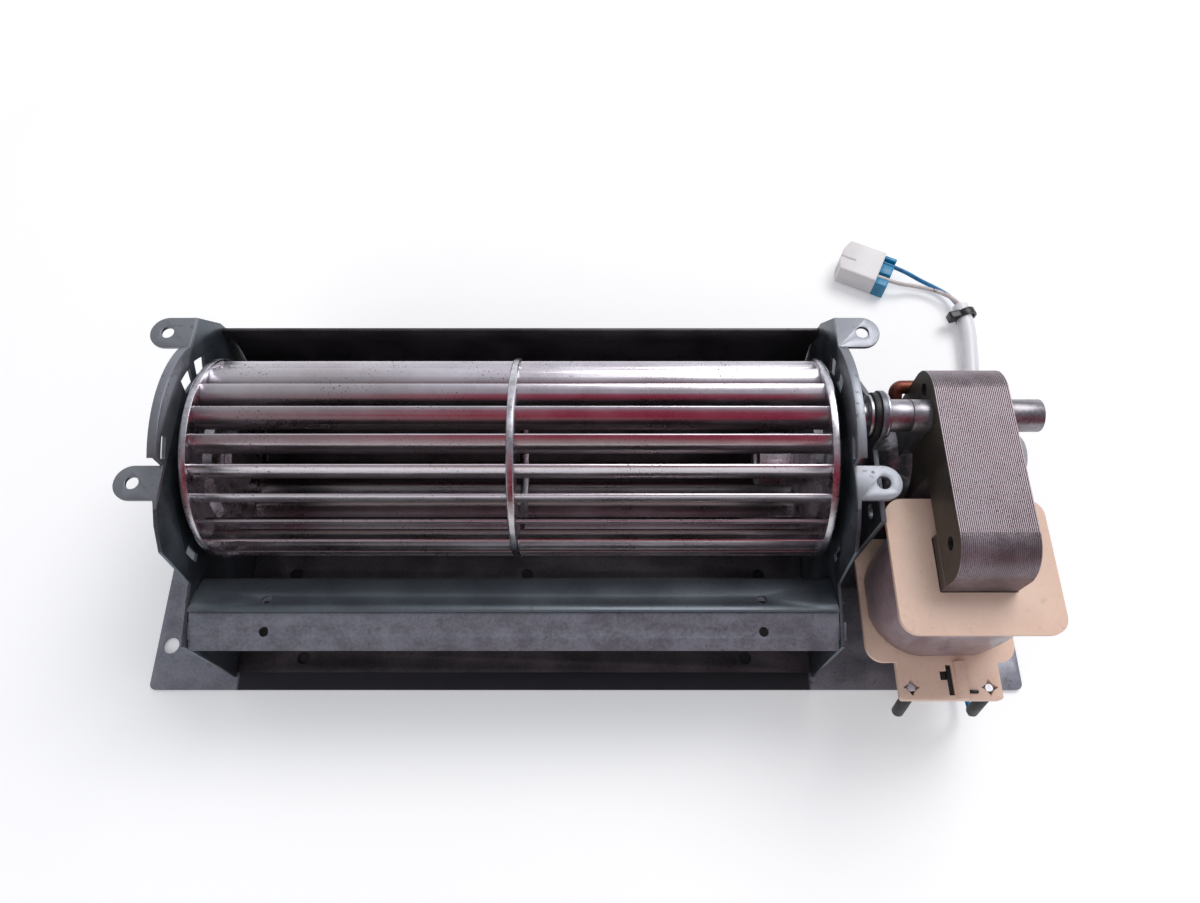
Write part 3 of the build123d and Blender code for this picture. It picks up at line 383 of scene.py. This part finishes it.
# End plates: the ears above EAR_UNDER get a painted highlight, a lighter colour for the light they catch
# facing up, and the plate below is a darker, shaded copy of the same sheet.
cheek_sheet = finish("shaded_end_plate_lit_ears", (0.14, 0.17, 0.195), (0.07, 0.085, 0.10), 0.8, (0.34, 0.5),
                     patch_scale=80.0, grain_scale=1500.0, grain=0.25, dirt_amount=0.5, bump=0.1,
                     lit_above=(EAR_UNDER, (0.33, 0.335, 0.365)))
bracket_sheet = finish("dull_motor_bracket", (0.20, 0.21, 0.24), (0.11, 0.115, 0.13), 0.8, (0.36, 0.5),
                       patch_scale=80.0, grain_scale=1500.0, dirt_amount=0.5)
# Scroll casing: a darker copy of the galvanised sheet as painted shade for the inside of the housing, with
# specks of dirt on top.
shade_and_dirt_sheet = finish("dirt_and_shade_scroll", (0.125, 0.117, 0.128), (0.062, 0.056, 0.062), 0.7, (0.4, 0.55),
                    patch_scale=70.0, grain_scale=1500.0, grain=0.3, dirt=(0.09, 0.04, 0.02), dirt_amount=0.5,
                    bump=0.1)
# Drum blades: a painted shade, dark brown near the drum axis, fading out further out.
drum_metal = finish("rolled_aluminium", (0.70, 0.67, 0.715), (0.56, 0.52, 0.55), 1.0, (0.25, 0.35),
                    patch_scale=45.0, grain=0.12, dirt=(0.07, 0.04, 0.03), dirt_amount=1.0, dirt_scale=1700.0,
                    bump=0.06, axis_shade=(SHADE_NEAR, SHADE_FAR, (0.13, 0.09, 0.085)))
ring_metal = finish("bright_ring", (0.66, 0.66, 0.70), (0.42, 0.40, 0.42), 1.0, (0.22, 0.4),
                    patch_scale=160.0, dirt_amount=0.6, dirt_scale=1100.0)
turned_steel = finish("turned_steel", (0.55, 0.55, 0.58), (0.38, 0.38, 0.40), 1.0, (0.24, 0.38),
                      stretch=(1.0, 0.05, 0.05), dirt_amount=0.3)
sleeve_steel = finish("dull_sleeve_steel", (0.38, 0.37, 0.40), (0.26, 0.25, 0.27), 0.95, (0.32, 0.44),
                      patch_scale=90.0, dirt_amount=0.4)
cast_alloy = finish("cast_alloy", (0.34, 0.33, 0.36), (0.20, 0.19, 0.205), 0.85, (0.32, 0.48),
                    patch_scale=110.0, grain=0.5, dirt_amount=0.5, bump=0.35)
bronze = finish("sintered_bronze", (0.45, 0.30, 0.15), (0.28, 0.18, 0.09), 0.9, (0.4, 0.55), bump=0.3)
copper = finish("tarnished_copper", (0.24, 0.072, 0.045), (0.10, 0.028, 0.020), 0.75, (0.34, 0.5),
                patch_scale=300.0, dirt_amount=0.5)

# %% [markdown]
# The stack is a pile of thin stampings. Seen from the edge it is a soft grey-purple with
# fine lines; its flat faces are coated with an olive-brown oxide.
# %% Finish of the laminations
stamped_edge = finish("lamination_edge", (0.33, 0.285, 0.31), (0.185, 0.15, 0.165), 0.75, (0.34, 0.5),
                      patch_scale=130.0, grain_scale=2600.0, grain=0.55, dirt_amount=0.5, dirt_scale=1500.0,
                      bump=0.3)
oxide_face = finish("oxide_coated_face", (0.13, 0.112, 0.092), (0.065, 0.056, 0.046), 0.6, (0.42, 0.58),
                    patch_scale=90.0, dirt_amount=0.3)
# Painted shade: the walls of the four through holes are near black, for the shade inside the holes.
hole_wall_shade = finish("hole_wall_shade", (0.012, 0.010, 0.009), (0.006, 0.005, 0.005), 0.0, (0.5, 0.7))

# %% Finishes of the plastic and rubber pieces
bobbin_nylon = finish("bobbin_nylon", (0.86, 0.60, 0.47), (0.78, 0.53, 0.415), 0.0, (0.42, 0.55),
                      patch_scale=55.0, grain=0.2, dirt_amount=0.15, bump=0.1, Subsurface_Weight=0.06)
coil_tape = finish("coil_tape", (0.30, 0.215, 0.235), (0.19, 0.125, 0.13), 0.0, (0.3, 0.5),
                   patch_scale=120.0, stretch=(0.3, 0.3, 3.0), streak_scale=700.0, dirt=(0.20, 0.075, 0.03),
                   dirt_amount=0.4, dirt_scale=160.0, bump=0.3, Coat_Weight=0.3)
white_pvc = finish("white_sleeving", (0.86, 0.845, 0.88), (0.79, 0.77, 0.81), 0.0, (0.28, 0.36),
                   patch_scale=50.0, grain=0.1, bump=0.05, Subsurface_Weight=0.1)
white_cover = finish("white_wire_cover", (0.70, 0.64, 0.61), (0.55, 0.48, 0.45), 0.0, (0.35, 0.45),
                     patch_scale=150.0, dirt=(0.05, 0.03, 0.03), dirt_amount=0.9, dirt_scale=420.0)
blue_cover = finish("blue_wire_cover", (0.012, 0.215, 0.46), (0.004, 0.10, 0.26), 0.0, (0.32, 0.42),
                    patch_scale=160.0)
white_nylon = finish("white_plug_nylon", (0.84, 0.80, 0.80), (0.77, 0.72, 0.72), 0.0, (0.35, 0.5),
                     patch_scale=90.0, grain=0.15, Subsurface_Weight=0.08)
blue_nylon = finish("blue_insert_nylon", (0.006, 0.27, 0.50), (0.003, 0.16, 0.33), 0.0, (0.3, 0.4),
                    patch_scale=200.0)
black_rubber = finish("black_rubber", (0.012, 0.012, 0.013), (0.006, 0.006, 0.007), 0.0, (0.45, 0.6),
                      patch_scale=200.0, grain=0.4, bump=0.3)
black_nylon = finish("black_nylon", (0.010, 0.010, 0.013), (0.006, 0.006, 0.008), 0.0, (0.3, 0.42),
                     patch_scale=200.0)
print("finishes:", [m.name for m in bpy.data.materials if m.use_nodes])

# %% [markdown]
# ## Softened edges
# A stamped or moulded edge is never razor sharp: it catches a thin line of light. Each
# visible solid is copied, its loose triangles are merged back into whole faces, and a
# narrow bevel rounds its edges. The copy rides where the solid was.
# %% Copy a solid and soften its edges
WELD = 0.002 * MM
FLAT_ANGLE = math.radians(0.8)
EDGE_ANGLE = math.radians(35)


def only(piece):
    """Make one piece the active and only selected object."""
    if bpy.context.object and bpy.context.object.mode != "OBJECT":
        bpy.ops.object.mode_set(mode="OBJECT")
    bpy.ops.object.select_all(action="DESELECT")
    piece.select_set(True)
    bpy.context.view_layer.objects.active = piece


def merged_copy(node, name, whole_faces=True):
    """A new piece from a solid, its loose triangles joined and, if asked, merged into whole faces."""
    piece = bpy.data.objects.new(name, nodes[node].data.copy())
    bpy.context.collection.objects.link(piece)
    only(piece)
    bpy.ops.object.mode_set(mode="EDIT")
    bpy.ops.mesh.select_all(action="SELECT")
    bpy.ops.mesh.remove_doubles(threshold=WELD)
    if whole_faces:
        bpy.ops.mesh.dissolve_limited(angle_limit=FLAT_ANGLE)
    bpy.ops.object.mode_set(mode="OBJECT")
    return piece


def soften(piece, width):
    """Round the sharp edges by a bevel of a width in millimetres."""
    only(piece)
    if width:
        bevel = piece.modifiers.new("edges", "BEVEL")
        bevel.width = width * MM
        bevel.segments = 2
        bevel.limit_method = "ANGLE"
        bevel.angle_limit = EDGE_ANGLE
        bevel.use_clamp_overlap = True
        bpy.ops.object.modifier_apply(modifier=bevel.name)
    bpy.ops.object.shade_smooth_by_angle(angle=EDGE_ANGLE)
    return piece


def stand_in(piece, node, material):
    """The piece takes a node's place: its body and finish."""
    piece.data.materials.clear()
    piece.data.materials.append(material)
    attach(piece, body_of_node[node])
    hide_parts(node)
    return piece


def dress(node, material, width, whole_faces=True):
    piece = soften(merged_copy(node, node + "_finished", whole_faces), width)
    return stand_in(piece, node, material)


# %% [markdown]
# ## Lamination stack
# The core is forty thin stampings pressed together. One stamping is made by pushing the far side of the solid
# core up to its near side, its edges are broken by a tiny bevel, and an array repeats it through the stack.
# The grooves between them give the fine lines. Flat faces get the oxide, and the walls of the four through
# holes get a painted shade, near black.
# %% Stamp one lamination and stack it
LAMINATIONS = 40
LAMINATION_GAP = 0.06 * MM
HOLE_YS = (-37.0 * MM, 8.0 * MM)
HOLE_RISE = 28.0 * MM
HOLE_REACH = 2.4 * MM
BURR = 0.12 * MM
BURR_ANGLE = math.radians(50)
FLAT = 0.95


def select_verts(piece, wanted):
    """Leave edit mode with only the wanted vertices selected."""
    only(piece)
    bpy.ops.object.mode_set(mode="EDIT")
    bpy.ops.mesh.select_mode(type="VERT")
    bpy.ops.mesh.select_all(action="DESELECT")
    bpy.ops.object.mode_set(mode="OBJECT")
    for vertex in piece.data.vertices:
        vertex.select = wanted(vertex.co)
    bpy.ops.object.mode_set(mode="EDIT")


def in_hole(face):
    """Whether a face of the stack lies in the wall of one of its holes."""
    y, rise = face.center.y, abs(face.center.z - AXIS_H) - HOLE_RISE
    return any(math.hypot(y - hole_y, rise) < HOLE_REACH for hole_y in HOLE_YS)


def laminate(node, name):
    """Stamp a node into thin sheets: edge, oxide and a painted shade on the hole walls are its three
    finishes.
    """
    piece = merged_copy(node, name, whole_faces=False)
    low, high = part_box(node)
    pitch = (high[0] - low[0]) / LAMINATIONS
    select_verts(piece, lambda co: co.x > (low[0] + high[0]) / 2)
    bpy.ops.transform.translate(value=(pitch - LAMINATION_GAP - (high[0] - low[0]), 0, 0))
    bpy.ops.object.mode_set(mode="OBJECT")
    bevel = piece.modifiers.new("burr", "BEVEL")
    bevel.width = BURR
    bevel.segments = 1
    bevel.limit_method = "ANGLE"
    bevel.angle_limit = BURR_ANGLE
    pile = piece.modifiers.new("pile", "ARRAY")
    pile.use_relative_offset = False
    pile.use_constant_offset = True
    pile.constant_offset_displace = (pitch, 0, 0)
    pile.count = LAMINATIONS
    for modifier in (bevel.name, pile.name):
        bpy.ops.object.modifier_apply(modifier=modifier)
    stand_in(piece, node, stamped_edge)
    piece.data.materials.append(oxide_face)
    piece.data.materials.append(hole_wall_shade)
    for face in piece.data.polygons:
        face.material_index = 1 if abs(face.normal.x) > FLAT else 2 * in_hole(face)
    print(name, "faces:", len(piece.data.polygons))
    return piece


laminate("stator_core", "stator_laminations")
laminate("core_limb", "limb_laminations")

# %% [markdown]
# ## Taped coil
# The coil is wound wire under a wrap of tape, so its sides swell between the flanges and show
# faint turns. The plain solid is cut into rings by level planes, and each ring is pushed
# outwards by the swell at its height, with every second one a little less.
# %% Swell the coil
RINGS = 26
SWELL = 1.1 * MM
TURN_DIP = 0.18 * MM
COIL_CORNER = 16.5 * MM
OUTSIDE_X, OUTSIDE_Y = 0.62, 0.72
COIL_ANGLE = math.radians(40)


def cut_level(piece, height):
    """Cut a whole piece by a level plane, keeping both halves joined."""
    select_verts(piece, lambda co: True)
    bpy.ops.mesh.bisect(plane_co=(0, 0, height), plane_no=(0, 0, 1))
    bpy.ops.object.mode_set(mode="OBJECT")


coil = merged_copy("coil_winding", "taped_coil", whole_faces=False)
coil_low, coil_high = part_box("coil_winding")
coil_middle = [(coil_low[i] + coil_high[i]) / 2 for i in (0, 1)]
half_x, half_y = [(coil_high[i] - coil_low[i]) / 2 for i in (0, 1)]
levels = [coil_low[2] + (coil_high[2] - coil_low[2]) * i / RINGS for i in range(1, RINGS)]
for level in levels:
    cut_level(coil, level)


def on_rounder_outline(x, y):
    """Draw a point of the outline in to one with rounder corners."""
    beyond = Vector((max(abs(x) - half_x + COIL_CORNER, 0), max(abs(y) - half_y + COIL_CORNER, 0)))
    if beyond.length > COIL_CORNER:
        back = beyond * (1 - COIL_CORNER / beyond.length)
        return x - math.copysign(back.x, x), y - math.copysign(back.y, y)
    return x, y


for vertex in coil.data.vertices:
    x, y = vertex.co.x - coil_middle[0], vertex.co.y - coil_middle[1]
    if abs(x) > half_x * OUTSIDE_X or abs(y) > half_y * OUTSIDE_Y:
        x, y = on_rounder_outline(x, y)
        ring = round((vertex.co.z - coil_low[2]) / (coil_high[2] - coil_low[2]) * RINGS)
        out = SWELL * math.sqrt(max(0.0, math.sin(math.pi * ring / RINGS))) - TURN_DIP * (ring % 2)
        vertex.co.x = coil_middle[0] + x + out * x / half_x
        vertex.co.y = coil_middle[1] + y + out * y / half_y
stand_in(coil, "coil_winding", coil_tape)
only(coil)
bpy.ops.object.shade_smooth_by_angle(angle=COIL_ANGLE)
print("coil faces:", len(coil.data.polygons))

# %% [markdown]
# ## Dressing the pieces
# The table gives each finish, the width of its softened edges in millimetres and the solids
# that wear it. Small hidden solids keep their own mesh and only get a finish. The bobbin keeps
# its triangles, the others are merged into whole faces.
# %% Dress the housing, the drum and the motor
DRESS = [
    (base_sheet, 0.18, ["base_plate"]),
    (tongue_sheet, 0.2, ["tongue_plate"]),
    (roof_sheet, 0.2, ["duct_roof"]),
    (shade_and_dirt_sheet, 0.18, ["scroll_casing"]),
    (bracket_sheet, 0.2, ["motor_bracket"]),
    (cheek_sheet, 0.38, ["end_plate_left", "end_plate_right"]),
    (ring_metal, 0.25, ["drum_disc_left", "drum_disc_right", "drum_middle_ring"]),
    (drum_metal, 0.1, ["drum_blades"]),
    (turned_steel, 0.2, ["drive_hub", "stub_shaft", "motor_shaft", "grommet_washers", "foot_rivets",
                         "motor_screws"]),
    (sleeve_steel, 0.3, ["spacer_sleeves"]),
    (cast_alloy, 0.5, ["inner_bearing_bracket", "outer_bearing_bracket"]),
    (bobbin_nylon, 0.35, ["bobbin"]),
    (white_nylon, 0.6, ["connector_housing"]),
    (blue_nylon, 0.25, ["connector_insert"]),
    (black_rubber, 0.3, ["terminal_boots", "motor_grommets", "end_bearing_rubber"]),
    (black_nylon, 0.2, ["cable_tie"]),
]
WITH_TRIANGLES = ["bobbin"]
finished = {}
for material, width, names in DRESS:
    for node in names:
        finished[node] = dress(node, material, width, whole_faces=node not in WITH_TRIANGLES)
KEPT_SOLIDS = [("hub_set_screw", turned_steel), ("rotor", oxide_face), ("terminal_pins", turned_steel),
               ("end_bearing_bush", bronze), ("inner_bush", bronze), ("outer_bush", bronze)]
for node, material in KEPT_SOLIDS:
    nodes[node].data.materials.clear()
    nodes[node].data.materials.append(material)
CORD_COVERS = [(cable_sleeve, white_pvc), (white_wire, white_cover), (blue_wire, blue_cover),
               (white_lead, white_cover), (blue_lead, blue_cover)]
for cord, material in CORD_COVERS:
    cord.data.materials.append(material)
print("dressed:", len(finished), "pieces")

# %% [markdown]
# ## Small pieces of the motor
# The grommet is capped by a bright steel cup, each shading ring is thick copper where it
# leaves the stack, and a black clip stands in the slot of the terminal block.
# %% Grommet cups
CUP_DEPTH = 1.6 * MM
grommets = finished["motor_grommets"]
grommets.data.materials.append(turned_steel)
cup_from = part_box("motor_grommets")[1][0] - CUP_DEPTH
for face in grommets.data.polygons:
    face.material_index = int(face.center.x > cup_from)
print("grommet cup faces:", sum(face.material_index for face in grommets.data.polygons))

# %% Copper rings
CLEAR_OF_STACK = 1 * MM
COPPER_SWELL = 0.9 * MM
rings = merged_copy("shading_rings", "copper_rings", whole_faces=False)
stack_low, stack_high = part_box("stator_core")
select_verts(rings, lambda co: not stack_low[0] - CLEAR_OF_STACK < co.x < stack_high[0] + CLEAR_OF_STACK)
bpy.ops.transform.shrink_fatten(value=COPPER_SWELL)
bpy.ops.object.mode_set(mode="OBJECT")
soften(rings, 0.0)
stand_in(rings, "shading_rings", copper)
print(rings.name, "faces:", len(rings.data.polygons))

# %% Clip in the terminal block: middle and size of its three bars, in millimetres
CLIP_PARTS = [((126.35, -63.2, 26.8), (1.4, 8.4, 3.4)), ((124.9, -61.9, 26.8), (1.9, 2.2, 2.6)),
              ((132.6, -66.6, 29.2), (2.6, 1.0, 0.8))]
clip_pieces = []
for middle, size in CLIP_PARTS:
    bpy.ops.object.select_all(action="DESELECT")
    bpy.ops.mesh.primitive_cube_add(size=1, location=[v * MM for v in middle])
    part = bpy.context.object
    part.scale = [v * MM for v in size]
    bpy.ops.object.transform_apply(location=True, rotation=True, scale=True)
    clip_pieces.append(soften(part, 0.2))
bpy.ops.object.select_all(action="DESELECT")
for part in clip_pieces:
    part.select_set(True)
bpy.context.view_layer.objects.active = clip_pieces[0]
bpy.ops.object.join()
clip = bpy.context.object
clip.name = "terminal_slot_clip"
clip.data.materials.clear()
clip.data.materials.append(black_nylon)
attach(clip, "housing")
print(clip.name, "of", len(CLIP_PARTS), "bars")


print("declared:", [cord.name for cord, _ in CORD_COVERS])

# %% [markdown]
# ## Studio
# The floor is a pale sheet that keeps the shadow. It glows a little for the eye and for
# reflections, and more with its distance, so the background ends up white.
# %% Floor
FLOOR_SIZE = 6.0
FLOOR_DROP = 0.5 * MM
FLOOR_GLOW = (0.22, 1.0)
GLOW_REACH = (0.30, 0.80)
bpy.ops.mesh.primitive_plane_add(size=FLOOR_SIZE, location=(0, 0, -FLOOR_DROP))
floor = bpy.context.object
floor.name = "studio_floor"
floor.data.materials.append(finish("pale_floor", (0.90, 0.90, 0.90), (0.885, 0.885, 0.885), 0.0, (0.8, 0.9),
                                   patch_scale=3.0, grain=0.0, bump=0.0))
floor_tree = floor.data.materials[0].node_tree
floor_shader = floor_tree.nodes["Principled BSDF"]
rays = floor_tree.nodes.new("ShaderNodeLightPath").outputs
mirrored = math_node(floor_tree, "MAXIMUM", rays["Is Glossy Ray"], rays["Is Transmission Ray"])
seen = math_node(floor_tree, "ADD", rays["Is Camera Ray"], mirrored, clamp=True)
away = floor_tree.nodes.new("ShaderNodeVectorMath")
away.operation = "LENGTH"
floor_tree.links.new(floor_tree.nodes.new("ShaderNodeTexCoord").outputs["Object"], away.inputs[0])
glow = span(floor_tree, away.outputs["Value"], *GLOW_REACH, *FLOOR_GLOW)
floor_shader.inputs["Emission Color"].default_value = (1, 1, 1, 1)
floor_tree.links.new(math_node(floor_tree, "MULTIPLY", seen, glow), floor_shader.inputs["Emission Strength"])
print("floor:", FLOOR_SIZE, "m wide, glow", FLOOR_GLOW)

# %% [markdown]
# Bare metal mostly mirrors its surroundings, so the world is a simple room that only
# reflections see: dark and red in front, pale overhead, bright behind. Light that falls on the
# pieces comes from an even grey, and the eye sees white.
# %% World: room colours along Y, and how the red fades towards the left
ROOM = [(0.00, (0.28, 0.22, 0.20)), (0.025, (0.26, 0.17, 0.16)), (0.06, (0.27, 0.010, 0.038)),
        (0.27, (0.27, 0.010, 0.045)), (0.35, (0.31, 0.30, 0.335)), (0.62, (0.47, 0.47, 0.53)),
        (0.74, (0.60, 0.60, 0.67)), (1.00, (0.85, 0.86, 0.92))]
RED_FROM, RED_FULL, RED_LEAST = -0.50, -0.20, 0.2
DAYLIGHT = (0.40, 0.41, 0.45)
world = bpy.context.scene.world or bpy.data.worlds.new("studio")
bpy.context.scene.world = world
world.use_nodes = True
sky = world.node_tree
around = split(sky, sky.nodes.new("ShaderNodeTexCoord").outputs["Generated"])
ramp = sky.nodes.new("ShaderNodeValToRGB")
while len(ramp.color_ramp.elements) < len(ROOM):
    ramp.color_ramp.elements.new(0.5)
for stop, (place, color) in zip(ramp.color_ramp.elements, ROOM):
    stop.position = place
    stop.color = (*color, 1)
sky.links.new(span(sky, around["Y"], -1.0, 1.0), ramp.inputs["Fac"])
ray = sky.nodes.new("ShaderNodeLightPath")
faded = sky.nodes.new("ShaderNodeHueSaturation")
sky.links.new(span(sky, around["X"], RED_FROM, RED_FULL, RED_LEAST, 1.0), faded.inputs["Saturation"])
sky.links.new(ramp.outputs["Color"], faded.inputs["Color"])
room = mix_color(sky, ray.outputs["Is Glossy Ray"], DAYLIGHT, faded.outputs["Color"])
room = mix_color(sky, ray.outputs["Is Camera Ray"], room, (1.0, 1.0, 1.0))
sky.links.new(room, sky.nodes["Background"].inputs["Color"])
sky.nodes["Background"].inputs["Strength"].default_value = 1.0
print("room colours:", len(ROOM))

# %% [markdown]
# The lamp behind the fan is what brightens the upward faces. A weaker one fills the front,
# and is kept out of reflections.
# %% Lamps


def soft_lamp(name, place, aim, size, power, color=(1, 1, 1)):
    """Square area lamp at place, turned towards aim."""
    bpy.ops.object.light_add(type="AREA", location=place)
    lamp = bpy.context.object
    lamp.name = name
    lamp.data.size = size
    lamp.data.energy = power
    lamp.data.color = color
    lamp.rotation_euler = (Vector(aim) - Vector(place)).to_track_quat("-Z", "Y").to_euler()
    return lamp


soft_lamp("window_lamp", place=(0.58, 0.66, 1.2), aim=(0.05, 0, 0), size=0.8, power=12.0,
          color=(1.0, 0.98, 0.97))
fill = soft_lamp("front_fill", place=(-0.5, -1.0, 0.9), aim=(0, 0, 0), size=1.0, power=4.0)
fill.visible_glossy = False
bpy.context.scene.view_settings.view_transform = "Standard"
print("lamps:", [light.name for light in bpy.data.lights])
